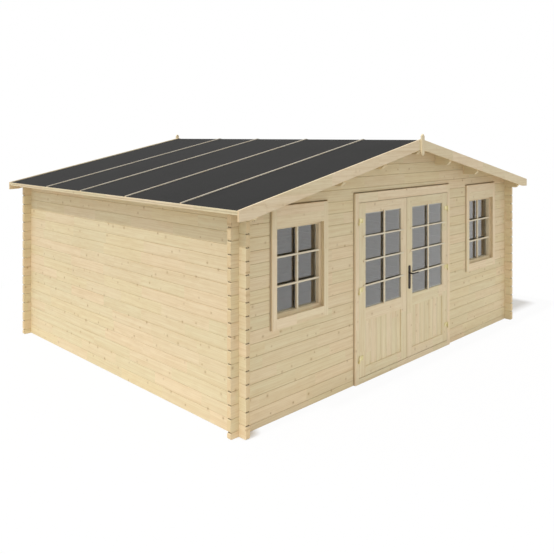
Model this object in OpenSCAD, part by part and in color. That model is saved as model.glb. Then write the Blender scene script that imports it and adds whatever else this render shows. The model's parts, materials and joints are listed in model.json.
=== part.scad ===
// Log cabin with a glazed double door and two windows.
// Walls are stacks of notched logs, and the low roof has boards, felt and bargeboards.
// Millimetres, +Z up, front wall towards -Y, ground at zero.

/* [Walls] */
// Distance between the outer faces of the side walls
wall_width = 4910; // [4500:10:5600]
// Distance between the outer faces of the front and back walls
wall_depth = 4020; // [3000:10:5000]
// Height of one log
log_height = 113; // [112:1:125]
// Thickness of one log
log_thickness = 44; // [34:1:50]
// Courses of logs in a side wall, with more laid where a taller door or window needs them
side_courses = 17; // [17:1:20]
// Log end past the corner
log_end = 90; // [60:5:130]
// Chamfer along the edges of a log
log_chamfer = 4; // [2:0.5:6]
// Chamfer on the end of a log
log_end_chamfer = 11; // [6:1:18]
// Height of the tongue on a log
tongue_height = 8; // [4:1:12]
// Width of the tongue on a log
tongue_width = 14; // [8:1:18]
// Height of the top log of a side wall before it is cut to the roof slope
plate_log = 134; // [113:1:160]
// Height that the roof slope takes off the top side log
plate_trim = 10; // [4:1:30]

/* [Roof] */
// Roof slope in degrees
roof_pitch = 11.9; // [8:0.1:16]
// Roof past the outer face of a side wall
eave_overhang = 183; // [120:1:260]
// Bargeboard face past the front wall
front_overhang = 209; // [150:1:320]
// Bargeboard face past the back wall
back_overhang = 188; // [150:1:320]
// Thickness of the roof boards
roof_board = 18; // [14:1:24]
// Thickness of the roof felt
felt_thickness = 3; // [2:0.5:5]
// Width of a felt batten
batten_width = 18; // [14:1:30]
// Thickness of a felt batten
batten_thickness = 8; // [5:1:14]
// First felt batten behind the front bargeboard face
batten_first = 795; // [500:5:900]
// Spacing of the felt battens
batten_pitch = 900; // [700:5:950]
// Spacing of the last felt batten from the one before it
batten_last_pitch = 800; // [600:5:950]
// Number of felt battens on a slope
batten_count = 4; // [3:1:4]
// Height of an eave strip
eave_strip_height = 34; // [28:1:60]
// Thickness of an eave strip
eave_strip_thickness = 18; // [14:1:26]
// Height of the bead along an eave strip
eave_bead_height = 12; // [8:1:18]
// Step of the bead along an eave strip
eave_bead_step = 6; // [3:1:8]
// Upright depth of a bargeboard
barge_depth = 112; // [100:1:140]
// Thickness of a bargeboard
barge_thickness = 20; // [16:1:28]
// Bargeboard top over the felt
barge_rise = 10; // [4:1:16]
// Upright depth of a bargeboard at its eave end
barge_tail = 92; // [60:1:98]
// Length of the bevel under a bargeboard end
barge_bevel = 110; // [30:1:200]
// Width of a finial
finial_width = 47; // [35:1:60]
// Height of a finial
finial_height = 235; // [160:1:260]
// Thickness of a finial
finial_thickness = 20; // [14:1:28]
// Finial tip over the bargeboard apex
finial_rise = 55; // [40:1:80]
// Width of a purlin
purlin_width = 45; // [38:1:60]
// Upright depth of a purlin at its middle
purlin_depth = 135; // [110:1:150]
// Distance from the ridge to the inner purlins
purlin_inner = 640; // [560:5:720]
// Distance from the ridge to the outer purlins
purlin_outer = 1292; // [1150:5:1450]
// Bevel under the ends of a purlin and of a top side log
purlin_bevel = 36; // [20:1:50]

/* [Windows] */
// Window middle to cabin middle
window_offset = 1709; // [1600:1:1740]
// Width over a window casing
window_width = 750; // [660:5:760]
// Height over a window casing
window_height = 1085; // [950:5:1085]
// Window casing underside over the ground
window_base = 800; // [760:5:800]
// Width of the upright casing boards of a window
window_side_board = 60; // [50:1:80]
// Height of the casing board over a window
window_head_board = 185; // [160:1:210]
// Height of the casing board under a window
window_base_board = 95; // [80:1:120]
// Width of the sash stiles and rails
sash_rail = 37; // [30:1:70]
// Thickness of a sash
sash_thickness = 45; // [34:1:48]
// Sash face behind the wall face
sash_recess = 25; // [10:1:26]
// Casing lap over a sash
sash_lap = 12; // [6:1:20]
// Sash lap behind the head casing board
sash_head_lap = 12; // [6:1:60]

/* [Doors] */
// Width over the door casing
door_width = 1830; // [1700:5:1900]
// Height over the door casing
door_height = 1925; // [1900:1:1935]
// Width of the upright casing boards of the door
door_side_board = 58; // [45:1:90]
// Height of the casing board over the door
door_head_board = 93; // [80:1:110]
// Height of the door sill
sill_height = 57; // [45:1:70]
// Thickness of a door leaf
leaf_thickness = 40; // [36:1:44]
// Clearance round a door leaf
leaf_clearance = 5; // [5:0.5:8]
// Gap between the two leaves
leaf_meeting_gap = 8; // [8:0.5:12]
// Leaf face behind the casing face
leaf_setback = 2; // [0:0.5:6]
// Width of a door stile
stile_width = 105; // [95:1:120]
// Height of the top rail of a leaf
top_rail = 110; // [90:1:130]
// Underside of the middle rail over the ground
mid_rail_base = 618; // [580:1:680]
// Height of the middle rail of a leaf
mid_rail = 130; // [100:1:150]
// Height of the bottom rail of a leaf
bottom_rail = 93; // [80:1:120]
// Thickness of the lower panel
panel_thickness = 18; // [12:1:24]
// Width of one board of the lower panel
panel_board = 91; // [70:1:120]
// Depth of the grooves of the lower panel
panel_groove = 4; // [2:0.5:5]
// Thickness of a door stop
stop_thickness = 15; // [10:1:20]
// Depth of a door stop
stop_depth = 20; // [12:1:20]

/* [Frames] */
// Thickness of the casing boards
casing_thickness = 20; // [16:1:24]
// Depth of the window and door frames
frame_depth = 70; // [68:1:90]
// Settling gap beside and over a frame
settling_gap = 12; // [8:1:16]
// Thickness of the inner trim
trim_thickness = 16; // [10:1:20]
// Lap of the inner trim on the wall
trim_lap = 30; // [20:1:40]
// Thickness of the glass
glass_thickness = 4; // [3:1:6]
// Glass face behind the face of a sash
glass_recess = 38; // [14:1:40]
// Glass face behind the face of a door leaf
leaf_glass_recess = 12; // [8:1:30]

/* [Ironmongery] */
// Radius of a hinge barrel
hinge_radius = 7; // [6:0.5:8]
// Height of the leaf half of a hinge
hinge_half = 46; // [26:1:50]
// Height of the casing half of a hinge
hinge_foot = 20; // [16:1:40]
// Reach of a hinge plate on a leaf
hinge_leaf_plate = 68; // [50:1:80]
// Reach of a hinge plate on the casing
hinge_casing_plate = 15; // [12:1:50]
// Thickness of a hinge plate
hinge_plate = 2.5; // [2:0.5:3]
// Radius of a hinge pin
hinge_pin = 3; // [2.5:0.5:4]
// Radial clearance of a hinge pin
hinge_pin_clearance = 0.1; // [0.05:0.05:0.2]
// Split of the low hinge over the ground
hinge_low = 235; // [200:5:300]
// Split of the middle hinge over the ground
hinge_middle = 925; // [880:5:1000]
// Split of the high hinge over the ground
hinge_high = 1625; // [1560:5:1660]
// Width of a handle plate
plate_width = 36; // [30:1:40]
// Height of a handle plate
plate_height = 260; // [220:1:280]
// Thickness of a handle plate
plate_thickness = 7; // [5:1:10]
// Spindle over the underside of a handle plate
plate_base = 175; // [140:1:200]
// Handle middle to the leaf edge
handle_backset = 44; // [30:1:56]
// Spindle height over the ground
spindle_height = 988; // [950:1:1040]
// Radius of the spindle
spindle_radius = 5; // [4:0.5:6]
// Clearance of the spindle in the leaf
spindle_clearance = 2; // [1:0.5:3]
// Radius of the lever neck
lever_neck = 8; // [7:0.5:10]
// Radius of the lever grip
lever_grip = 7; // [6:0.5:9]
// Length of the lever
lever_length = 112; // [90:1:130]
// Projection of the lever axis from the leaf
lever_projection = 50; // [40:1:60]

/* [Floor] */
// Thickness of the floor boards
floor_board = 19; // [16:1:24]
// Width of a floor bearer
bearer_width = 45; // [38:1:60]
// Number of floor bearers
bearer_count = 6; // [5:1:9]
// Gap between the floor and the walls
floor_gap = 5; // [3:1:10]

/* [Fit] */
// Clearance between pieces that touch
fit = 0.3; // [0.2:0.1:0.4]

/* [Hidden] */
$fn = 48;

// Colours of the preview
pine = "burlywood";
pale_pine = "wheat";
felt_grey = "dimgray";
pane_grey = "lightsteelblue";
brass_yellow = "goldenrod";
dark_metal = "darkslategray";

// Main planes: the box of the whole part is centred on the origin
half_width = wall_width / 2;
centre_shift = (front_overhang - back_overhang) / 2;
front_face = -wall_depth / 2 + centre_shift;
back_face = wall_depth / 2 + centre_shift;
roof_front = front_face - front_overhang + barge_thickness + fit;
roof_back = back_face + back_overhang - barge_thickness - fit;

// Logs: front and back walls start half a log lower than the side walls
half_log = log_height / 2;
notch = log_height / 4;
opening_top = door_height + settling_gap;
window_top = window_base + window_height;
first_over = ceil((opening_top - half_log) / log_height);
window_courses = ceil((window_top + settling_gap) / log_height);
wall_courses = max(side_courses, first_over, window_courses);
front_courses = wall_courses - 1;
tongue_play = 1.5;

// Roof lines
slope = tan(roof_pitch);
plate_height_z = (wall_courses - 1) * log_height + plate_log - plate_trim;
ridge_under = plate_height_z + (half_width - log_thickness) * slope;
board_rise = roof_board / cos(roof_pitch);
felt_base = board_rise + fit;
felt_top = felt_base + felt_thickness / cos(roof_pitch);
batten_base = felt_top + fit;
batten_top = batten_base + batten_thickness / cos(roof_pitch);
eave_end = half_width + eave_overhang;
board_end = eave_end - eave_strip_thickness - fit;
barge_top = felt_top + barge_rise;

// Door and window lines
casing_face = front_face - casing_thickness;
wall_inside = front_face + log_thickness;
frame_inside = front_face + frame_depth;
door_half = door_width / 2;
door_clear = door_half - door_side_board;
door_head = door_height - door_head_board;
opening_half = door_half + settling_gap;
leaf_face = casing_face + leaf_setback;
leaf_back = leaf_face + leaf_thickness;
leaf_outer = door_clear - leaf_clearance;
leaf_inner = leaf_meeting_gap / 2;
leaf_base = sill_height + leaf_clearance;
leaf_top = door_head - leaf_clearance;
glass_base = mid_rail_base + mid_rail;
glass_head = leaf_top - top_rail;
panel_base = leaf_base + bottom_rail;
window_half = window_width / 2;
sash_half = window_half - window_side_board + sash_lap;
sash_base = window_base + window_base_board - sash_lap;
sash_top = window_top - window_head_board + sash_head_lap;
sash_face = front_face + sash_recess;
hinge_axis_y = casing_face - hinge_radius - 2 * fit;
hinge_axis_x = door_clear;
hinge_splits = [hinge_low, hinge_middle, hinge_high];
handle_x = leaf_inner + handle_backset;

// Height of the roof boards' underside at a distance from the ridge
function under(x) = ridge_under - abs(x) * slope;

// Cross-section of a log, with chamfered edges, a tongue above and a groove below
function log_section(h, tongue, groove) = concat(
  [[log_chamfer, 0]],
  groove ? [
    [log_thickness / 2 - tongue_width / 2 - tongue_play, 0],
    [log_thickness / 2 - tongue_width / 2 - tongue_play, tongue_height + tongue_play],
    [log_thickness / 2 + tongue_width / 2 + tongue_play, tongue_height + tongue_play],
    [log_thickness / 2 + tongue_width / 2 + tongue_play, 0]
  ] : [],
  [[log_thickness - log_chamfer, 0], [log_thickness, log_chamfer]],
  [[log_thickness, h - log_chamfer], [log_thickness - log_chamfer, h]],
  tongue ? [
    [log_thickness / 2 + tongue_width / 2, h],
    [log_thickness / 2 + tongue_width / 2, h + tongue_height],
    [log_thickness / 2 - tongue_width / 2, h + tongue_height],
    [log_thickness / 2 - tongue_width / 2, h]
  ] : [],
  [[log_chamfer, h], [0, h - log_chamfer], [0, log_chamfer]]
);

// One notch, from c0 to c1, on the underside of a log's side view
function under_notch(c0, c1, d) = d > 0 ? [[c0, 0], [c0, d], [c1, d], [c1, 0]] : [];

// One notch, from c1 back to c0, on the top of a log's side view
function over_notch(c0, c1, h, top, d) = d > 0 ? [[c1, top], [c1, h - d], [c0, h - d], [c0, top]] : [];

// Side view of a log from s0 to s1 that crosses other logs at [a0, a1] and [b0, b1]
function log_view(s0, s1, a0, a1, b0, b1, h, top, low, high, end_bevel) = concat(
  [[s0, end_bevel], [s0 + end_bevel, 0]],
  under_notch(a0, a1, low),
  under_notch(b0, b1, low),
  [[s1 - end_bevel, 0], [s1, end_bevel]],
  [[s1, h - log_end_chamfer], [s1 - log_end_chamfer, h], [s1 - log_end_chamfer, top + 1]],
  over_notch(b0, b1, h, top + 1, high),
  over_notch(a0, a1, h, top + 1, high),
  [[s0 + log_end_chamfer, top + 1], [s0 + log_end_chamfer, h], [s0, h - log_end_chamfer]]
);

// A plain board between two corners
module board(x0, x1, y0, y1, z0, z1) {
  translate([x0, y0, z0]) cube([x1 - x0, y1 - y0, z1 - z0]);
}

// A shape drawn in X and Z, run along Y from y0 to y1
module along_y(points, y0, y1) {
  translate([0, y1, 0]) rotate([90, 0, 0]) linear_extrude(height = y1 - y0) polygon(points);
}

// A shape drawn in Y and Z, run along X from x0 to x1
module along_x(points, x0, x1) {
  translate([x0, 0, 0]) rotate([90, 0, 90]) linear_extrude(height = x1 - x0) polygon(points);
}

// The space below the roof boards
module below_roof() {
  reach = eave_end + wall_width;
  along_y(
    [[-reach, -log_height], [reach, -log_height], [reach, under(reach) - fit],
     [0, under(0) - fit], [-reach, under(reach) - fit]],
    front_face - 2 * front_overhang, back_face + 2 * back_overhang);
}

// One log of a side wall whose low X face is at x0
module side_log(x0, course) {
  last = course == wall_courses - 1;
  h = (last ? plate_log : log_height) - fit;
  s0 = last ? roof_front : front_face - log_end;
  s1 = last ? roof_back : back_face + log_end;
  cut = notch + fit / 2;
  intersection() {
    translate([x0, s1, course * log_height]) rotate([90, 0, 0]) linear_extrude(height = s1 - s0)
      polygon(log_section(h, !last, course > 0));
    translate([0, 0, course * log_height]) along_x(
      log_view(s0, s1, front_face - fit, front_face + log_thickness + fit,
        back_face - log_thickness - fit, back_face + fit, h, h + tongue_height, cut, last ? 0 : cut,
        last ? purlin_bevel : log_end_chamfer),
      x0 - fit, x0 + log_thickness + fit);
    if (last) below_roof();
  }
}

// A whole side wall
module side_wall(x0) {
  for (course = [0 : wall_courses - 1]) side_log(x0, course);
}

// Height of the underside of a front or back log
function cross_base(course) = course == 0 ? 0 : half_log + (course - 1) * log_height;

// One log of a front or back wall whose low Y face is at y0, notched over the side walls
module cross_log(y0, course) {
  h = (course == 0 ? half_log : log_height) - fit;
  reach = half_width + log_end;
  cut = notch + fit / 2;
  z0 = cross_base(course);
  intersection() {
    translate([-reach, y0, z0]) rotate([90, 0, 90]) linear_extrude(height = 2 * reach)
      polygon(log_section(h, true, course > 0));
    translate([0, 0, z0]) along_y(
      log_view(-reach, reach, -half_width - fit, -half_width + log_thickness + fit,
        half_width - log_thickness - fit, half_width + fit, h, h + tongue_height,
        course == 0 ? 0 : cut, cut, log_end_chamfer),
      y0 - fit, y0 + log_thickness + fit);
  }
}

// One gable log between the side walls, cut to the roof and round the purlins
module gable_log(y0, course) {
  z0 = cross_base(course);
  reach = half_width - log_thickness - fit;
  difference() {
    intersection() {
      translate([-reach, y0, z0]) rotate([90, 0, 90]) linear_extrude(height = 2 * reach)
        polygon(log_section(log_height - fit, true, true));
      below_roof();
    }
    for (x = [-purlin_outer, -purlin_inner, 0, purlin_inner, purlin_outer])
      if (under(x) - purlin_depth < z0 + log_height + tongue_height) purlin_pocket(x, y0);
  }
}

// Pocket of one purlin through a gable
module purlin_pocket(x, y0) {
  w = purlin_width / 2 + fit;
  board(x - w, x + w, y0 - fit, y0 + log_thickness + fit, under(x) - purlin_depth - fit, ridge_under + log_height);
}

// Number of the last gable course that still has a log's chamfers below the ridge
gable_courses = floor((ridge_under - half_log - 2 * log_chamfer) / log_height) + 1;

// Clear cut for one window
module window_cut(xc) {
  board(xc - window_half - settling_gap, xc + window_half + settling_gap,
    front_face - log_end, wall_inside + log_end, window_base, window_top + settling_gap);
}

// Clear cut for the door
module door_cut() {
  board(-opening_half, opening_half, front_face - log_end, wall_inside + log_end, -log_height, opening_top);
}

// The side of the door that a front wall piece stands on
module front_side(side) {
  x0 = side < 0 ? -half_width - 2 * log_end : opening_half;
  board(x0, x0 + half_width + 2 * log_end - opening_half, front_face - log_end, wall_inside + log_end,
    -log_height, ridge_under);
}

// Front wall on one side of the door, up to the last log that ends beside it
module front_wall(side) {
  for (course = [0 : first_over - 1]) intersection() {
    difference() {
      cross_log(front_face, course);
      if (cross_base(course) + log_height + tongue_height > window_base) window_cut(side * window_offset);
    }
    front_side(side);
  }
}

module left_wall() {
  color(pale_pine) side_wall(-half_width);
}

module right_wall() {
  color(pale_pine) side_wall(half_width - log_thickness);
}

module back_wall() {
  color(pine) {
    for (course = [0 : front_courses]) cross_log(back_face - log_thickness, course);
    for (course = [front_courses + 1 : gable_courses]) gable_log(back_face - log_thickness, course);
  }
}

module front_wall_left() {
  color(pine) front_wall(-1);
}

module front_wall_right() {
  color(pine) front_wall(1);
}

// Logs that run over the door
module front_gable() {
  color(pine) for (course = [first_over : gable_courses]) difference() {
    if (course > front_courses) gable_log(front_face, course);
    else cross_log(front_face, course);
    if (cross_base(course) < opening_top) door_cut();
    if (cross_base(course) < window_top + settling_gap) {
      window_cut(-window_offset);
      window_cut(window_offset);
    }
  }
}

// A layer of the roof from the eave to the ridge, between two heights over the boards' underside
module roof_layer(side, x0, x1, low, high, y0, y1) {
  mirror([side < 0 ? 1 : 0, 0, 0]) along_y(
    [[x0, under(x0) + low], [x1, under(x1) + low], [x1, under(x1) + high], [x0, under(x0) + high]], y0, y1);
}

module roof_boards_left() {
  color(pine) roof_layer(-1, fit / 2, board_end, 0, board_rise, roof_front, roof_back);
}

module roof_boards_right() {
  color(pine) roof_layer(1, fit / 2, board_end, 0, board_rise, roof_front, roof_back);
}

module roof_felt_left() {
  color(felt_grey) roof_layer(-1, fit / 2, board_end, felt_base, felt_top, roof_front, roof_back);
}

module roof_felt_right() {
  color(felt_grey) roof_layer(1, fit / 2, board_end, felt_base, felt_top, roof_front, roof_back);
}

// The battens that hold the felt down on one slope
module felt_battens(side) {
  last = batten_count - 1;
  for (i = [0 : last]) {
    y = front_face - front_overhang + batten_first + (i < last ? i * batten_pitch :
      (last - 1) * batten_pitch + batten_last_pitch);
    roof_layer(side, fit / 2, board_end, batten_base, batten_top, y - batten_width / 2, y + batten_width / 2);
  }
}

module felt_battens_left() {
  color(pale_pine) felt_battens(-1);
}

module felt_battens_right() {
  color(pale_pine) felt_battens(1);
}

// The strip along an eave, with a bead at its top
module eave_strip(side) {
  x0 = board_end + fit;
  top = under(board_end) + felt_top;
  low = top - eave_strip_height;
  mirror([side < 0 ? 1 : 0, 0, 0]) along_y(
    [[x0, low], [eave_end - eave_bead_step, low], [eave_end - eave_bead_step, top - eave_bead_height],
     [eave_end, top - eave_bead_height], [eave_end, top], [x0, top]], roof_front, roof_back);
}

module eave_strip_left() {
  color(pale_pine) eave_strip(-1);
}

module eave_strip_right() {
  color(pale_pine) eave_strip(1);
}

// The pair of bargeboards of one gable, with bevelled eave ends
module bargeboards(y0) {
  for (side = [0, 1]) mirror([side, 0, 0]) along_y(
    [[fit / 2, under(0) + barge_top - barge_depth],
     [eave_end - barge_bevel, under(eave_end - barge_bevel) + barge_top - barge_depth],
     [eave_end, under(eave_end) + barge_top - barge_tail],
     [eave_end, under(eave_end) + barge_top],
     [fit / 2, under(0) + barge_top]], y0, y0 + barge_thickness);
}

module bargeboards_front() {
  color(pine) bargeboards(front_face - front_overhang);
}

module bargeboards_back() {
  color(pine) bargeboards(back_face + back_overhang - barge_thickness);
}

// A pointed finial board
module finial(y0) {
  w = finial_width / 2;
  top = under(0) + barge_top + finial_rise;
  low = top - finial_height;
  along_y([[0, low], [w, low + w], [w, top - w], [0, top], [-w, top - w], [-w, low + w]],
    y0, y0 + finial_thickness);
}

module finial_front() {
  color(pine) finial(front_face - front_overhang - fit - finial_thickness);
}

module finial_back() {
  color(pine) finial(back_face + back_overhang + fit);
}

// Side view of a purlin with its two end bevels
function purlin_view(low, top) = [
  [roof_front, low + purlin_bevel], [roof_front + purlin_bevel, low], [roof_back - purlin_bevel, low],
  [roof_back, low + purlin_bevel], [roof_back, top], [roof_front, top]
];

// One purlin, cut to the roof slope
module purlin(x) {
  low = under(x) - purlin_depth;
  w = purlin_width / 2;
  intersection() {
    along_x(purlin_view(low, ridge_under + log_height), x - w, x + w);
    below_roof();
  }
}

module ridge_purlin() {
  color(pine) purlin(0);
}

module side_purlins() {
  color(pine) for (x = [-purlin_outer, -purlin_inner, purlin_inner, purlin_outer]) purlin(x);
}

// Casing boards on the face of a window
module window_casing(xc) {
  inner = window_half - window_side_board;
  for (side = [-1, 1]) {
    x0 = side < 0 ? xc - window_half : xc + inner;
    board(x0, x0 + window_side_board, casing_face, front_face - fit, window_base + fit, window_top);
  }
  board(xc - inner + fit, xc + inner - fit, casing_face, front_face - fit,
    window_top - window_head_board, window_top);
  board(xc - inner + fit, xc + inner - fit, casing_face, front_face - fit,
    window_base + fit, window_base + window_base_board);
}

// Frame boards behind a window casing and the inner trim that laps on the wall
module window_frame(xc) {
  inner = sash_half + fit;
  lap = settling_gap + trim_lap;
  for (side = [-1, 1]) {
    x0 = side < 0 ? xc - window_half : xc + inner;
    board(x0, x0 + window_half - inner, front_face, frame_inside, window_base + fit, window_top);
    x1 = side < 0 ? xc - window_half - lap : xc + window_half + fit;
    board(x1, x1 + lap - fit, wall_inside + fit, wall_inside + trim_thickness,
      window_base - trim_lap, window_top + lap);
  }
  board(xc - inner + fit, xc + inner - fit, front_face, frame_inside, sash_top + fit, window_top);
  board(xc - inner + fit, xc + inner - fit, front_face, frame_inside, window_base + fit, sash_base - fit);
  board(xc - window_half, xc + window_half, wall_inside + fit, wall_inside + trim_thickness,
    window_top + fit, window_top + lap);
  board(xc - window_half, xc + window_half, wall_inside + fit, wall_inside + trim_thickness,
    window_base - trim_lap, window_base);
}

// Stiles and rails of a sash
module window_sash(xc) {
  back = sash_face + sash_thickness;
  for (side = [-1, 1]) {
    x0 = side < 0 ? xc - sash_half : xc + sash_half - sash_rail;
    board(x0, x0 + sash_rail, sash_face, back, sash_base, sash_top);
  }
  inner = sash_half - sash_rail - fit;
  board(xc - inner, xc + inner, sash_face, back, sash_base, sash_base + sash_rail);
  board(xc - inner, xc + inner, sash_face, back, sash_top - sash_rail, sash_top);
}

// Glass of a sash
module window_glass(xc) {
  inner = sash_half - sash_rail - fit;
  y = sash_face + glass_recess;
  board(xc - inner, xc + inner, y, y + glass_thickness, sash_base + sash_rail + fit, sash_top - sash_rail - fit);
}

module window_left_casing() {
  color(pale_pine) window_casing(-window_offset);
}

module window_left_frame() {
  color(pine) window_frame(-window_offset);
}

module window_left_sash() {
  color(pale_pine) window_sash(-window_offset);
}

module window_left_glass() {
  color(pane_grey) window_glass(-window_offset);
}

module window_right_casing() {
  color(pale_pine) window_casing(window_offset);
}

module window_right_frame() {
  color(pine) window_frame(window_offset);
}

module window_right_sash() {
  color(pale_pine) window_sash(window_offset);
}

module window_right_glass() {
  color(pane_grey) window_glass(window_offset);
}

module door_casing() {
  color(pale_pine) {
    for (side = [-1, 1]) {
      x0 = side < 0 ? -door_half : door_clear;
      board(x0, x0 + door_side_board, casing_face, front_face - fit, 0, door_height);
    }
    board(-door_clear + fit, door_clear - fit, casing_face, front_face - fit, door_head, door_height);
  }
}

// Jambs, head, stops behind the leaves and the inner trim that laps on the wall
module door_frame() {
  lap = settling_gap + trim_lap;
  stop_face = leaf_back + leaf_clearance;
  color(pine) {
    for (side = [-1, 1]) {
      x0 = side < 0 ? -door_half : door_clear;
      board(x0, x0 + door_side_board, front_face, frame_inside, 0, door_height);
      x1 = side < 0 ? -door_clear + fit : door_clear - stop_thickness;
      board(x1, x1 + stop_thickness - fit, stop_face, stop_face + stop_depth, sill_height + fit, door_head - fit);
      x2 = side < 0 ? -door_half - lap : door_half + fit;
      board(x2, x2 + lap - fit, wall_inside + fit, wall_inside + trim_thickness, sill_height, door_height + lap);
    }
    board(-door_clear + fit, door_clear - fit, front_face, frame_inside, door_head, door_height);
    board(-door_clear + stop_thickness + fit, door_clear - stop_thickness - fit, stop_face, stop_face + stop_depth,
      door_head - stop_thickness, door_head - fit);
    board(-door_half, door_half, wall_inside + fit, wall_inside + trim_thickness,
      door_height + fit, door_height + lap);
  }
}

module door_sill() {
  color(pine) board(-door_clear + fit, door_clear - fit, casing_face, frame_inside, 0, sill_height);
}

// Stiles and rails of the right leaf, with the spindle's hole where it has a lever
module leaf_frame(bored) {
  rail0 = leaf_inner + stile_width + fit;
  rail1 = leaf_outer - stile_width - fit;
  difference() {
    board(leaf_inner, leaf_inner + stile_width, leaf_face, leaf_back, leaf_base, leaf_top);
    if (bored) translate([handle_x, leaf_back + fit, spindle_height]) rotate([90, 0, 0])
      cylinder(r = spindle_radius + spindle_clearance, h = leaf_thickness + 2 * fit);
  }
  board(leaf_outer - stile_width, leaf_outer, leaf_face, leaf_back, leaf_base, leaf_top);
  board(rail0, rail1, leaf_face, leaf_back, leaf_base, leaf_base + bottom_rail);
  board(rail0, rail1, leaf_face, leaf_back, mid_rail_base, mid_rail_base + mid_rail);
  board(rail0, rail1, leaf_face, leaf_back, leaf_top - top_rail, leaf_top);
}

// Lower panel of the right leaf, grooved into boards on both faces
module leaf_panel() {
  x0 = leaf_inner + stile_width + fit;
  x1 = leaf_outer - stile_width - fit;
  y0 = leaf_face + (leaf_thickness - panel_thickness) / 2;
  y1 = y0 + panel_thickness;
  boards = floor((x1 - x0) / panel_board);
  step = (x1 - x0) / boards;
  g = panel_groove;
  front = [for (i = [0 : boards]) each (i == 0 ? [[x0, y0]] : i == boards ? [[x1, y0]] :
    [[x0 + i * step - g, y0], [x0 + i * step, y0 + g], [x0 + i * step + g, y0]])];
  back = [for (i = [boards : -1 : 0]) each (i == 0 ? [[x0, y1]] : i == boards ? [[x1, y1]] :
    [[x0 + i * step + g, y1], [x0 + i * step, y1 - g], [x0 + i * step - g, y1]])];
  translate([0, 0, panel_base + fit]) linear_extrude(height = mid_rail_base - panel_base - 2 * fit)
    polygon(concat(front, back));
}

// Glass of the right leaf
module leaf_glass() {
  y = leaf_face + leaf_glass_recess;
  board(leaf_inner + stile_width + fit, leaf_outer - stile_width - fit, y, y + glass_thickness,
    glass_base + fit, glass_head - fit);
}

module left_leaf_frame() {
  color(pale_pine) mirror([1, 0, 0]) leaf_frame(false);
}

module left_leaf_panel() {
  color(pale_pine) mirror([1, 0, 0]) leaf_panel();
}

module left_leaf_glass() {
  color(pane_grey) mirror([1, 0, 0]) leaf_glass();
}

module right_leaf_frame() {
  color(pale_pine) leaf_frame(true);
}

module right_leaf_panel() {
  color(pale_pine) leaf_panel();
}

module right_leaf_glass() {
  color(pane_grey) leaf_glass();
}

// Casing halves of the right leaf's hinges: barrel, pin and plate
module hinge_pins() {
  for (z = hinge_splits) {
    translate([hinge_axis_x, hinge_axis_y, z - hinge_foot])
      cylinder(r = hinge_radius, h = hinge_foot - fit);
    translate([hinge_axis_x, hinge_axis_y, z - hinge_foot])
      cylinder(r = hinge_pin, h = hinge_foot + hinge_half - 4 * hinge_pin);
    board(hinge_axis_x, hinge_axis_x + hinge_casing_plate, casing_face - fit - hinge_plate, casing_face - fit,
      z - hinge_foot, z - fit);
  }
}

// Leaf halves of the right leaf's hinges: barrel with a blind bore and plate
module hinge_straps() {
  for (z = hinge_splits) difference() {
    union() {
      translate([hinge_axis_x, hinge_axis_y, z]) cylinder(r = hinge_radius, h = hinge_half);
      board(hinge_axis_x - hinge_leaf_plate, hinge_axis_x, casing_face - fit - hinge_plate, casing_face - fit,
        z, z + hinge_half);
      board(hinge_axis_x - hinge_leaf_plate, leaf_outer - leaf_clearance, casing_face - 2 * fit, leaf_face - fit,
        z, z + hinge_half);
    }
    translate([hinge_axis_x, hinge_axis_y, z - fit])
      cylinder(r = hinge_pin + hinge_pin_clearance, h = hinge_half - 3 * hinge_pin);
  }
}

module left_hinge_pins() {
  color(brass_yellow) mirror([1, 0, 0]) hinge_pins();
}

module left_hinge_straps() {
  color(brass_yellow) mirror([1, 0, 0]) hinge_straps();
}

module right_hinge_pins() {
  color(brass_yellow) hinge_pins();
}

module right_hinge_straps() {
  color(brass_yellow) hinge_straps();
}

// One round-ended handle plate with the lever neck's hole, its back at y0
module handle_plate(y0) {
  r = plate_width / 2;
  difference() {
    translate([handle_x, y0 + plate_thickness, spindle_height - plate_base]) rotate([90, 0, 0])
      linear_extrude(height = plate_thickness) union() {
        translate([-r, r]) square([2 * r, plate_height - 2 * r]);
        translate([0, r]) circle(r = r);
        translate([0, plate_height - r]) circle(r = r);
      }
    translate([handle_x, y0 + plate_thickness + fit, spindle_height]) rotate([90, 0, 0])
      cylinder(r = lever_neck + 2 * fit, h = plate_thickness + 2 * fit);
  }
}

module handle_plates() {
  color(dark_metal) {
    handle_plate(leaf_face - fit - plate_thickness);
    handle_plate(leaf_back + fit);
  }
}

// Neck and grip of a lever that stands out along Y from y0 by d
module lever_arm(y0, d) {
  y1 = y0 + d;
  translate([handle_x, max(y0, y1), spindle_height]) rotate([90, 0, 0]) cylinder(r = lever_neck, h = abs(d));
  translate([handle_x, y1, spindle_height]) sphere(r = lever_neck);
  translate([handle_x, y1, spindle_height]) rotate([0, 90, 0]) cylinder(r = lever_grip, h = lever_length - lever_grip);
  translate([handle_x + lever_length - lever_grip, y1, spindle_height]) sphere(r = lever_grip);
}

module door_lever() {
  color(dark_metal) union() {
    translate([handle_x, leaf_back + lever_projection / 2, spindle_height]) rotate([90, 0, 0])
      cylinder(r = spindle_radius, h = leaf_thickness + lever_projection);
    lever_arm(leaf_face - 2 * fit, -lever_projection + 2 * fit);
    lever_arm(leaf_back + 2 * fit, lever_projection - 2 * fit);
  }
}

// Floor lines
floor_half = half_width - log_thickness - floor_gap;
bearer_half = half_width - log_thickness - fit;
floor_front = frame_inside + floor_gap;
floor_back = back_face - log_thickness - floor_gap;

module floor_boards() {
  color(pine) board(-floor_half, floor_half, floor_front, floor_back, sill_height - floor_board, sill_height);
}

module floor_bearers() {
  step = (floor_back - floor_front - bearer_width) / (bearer_count - 1);
  color(pine) for (i = [0 : bearer_count - 1])
    board(-bearer_half, bearer_half, floor_front + i * step, floor_front + i * step + bearer_width,
      0, sill_height - floor_board - fit);
}

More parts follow.
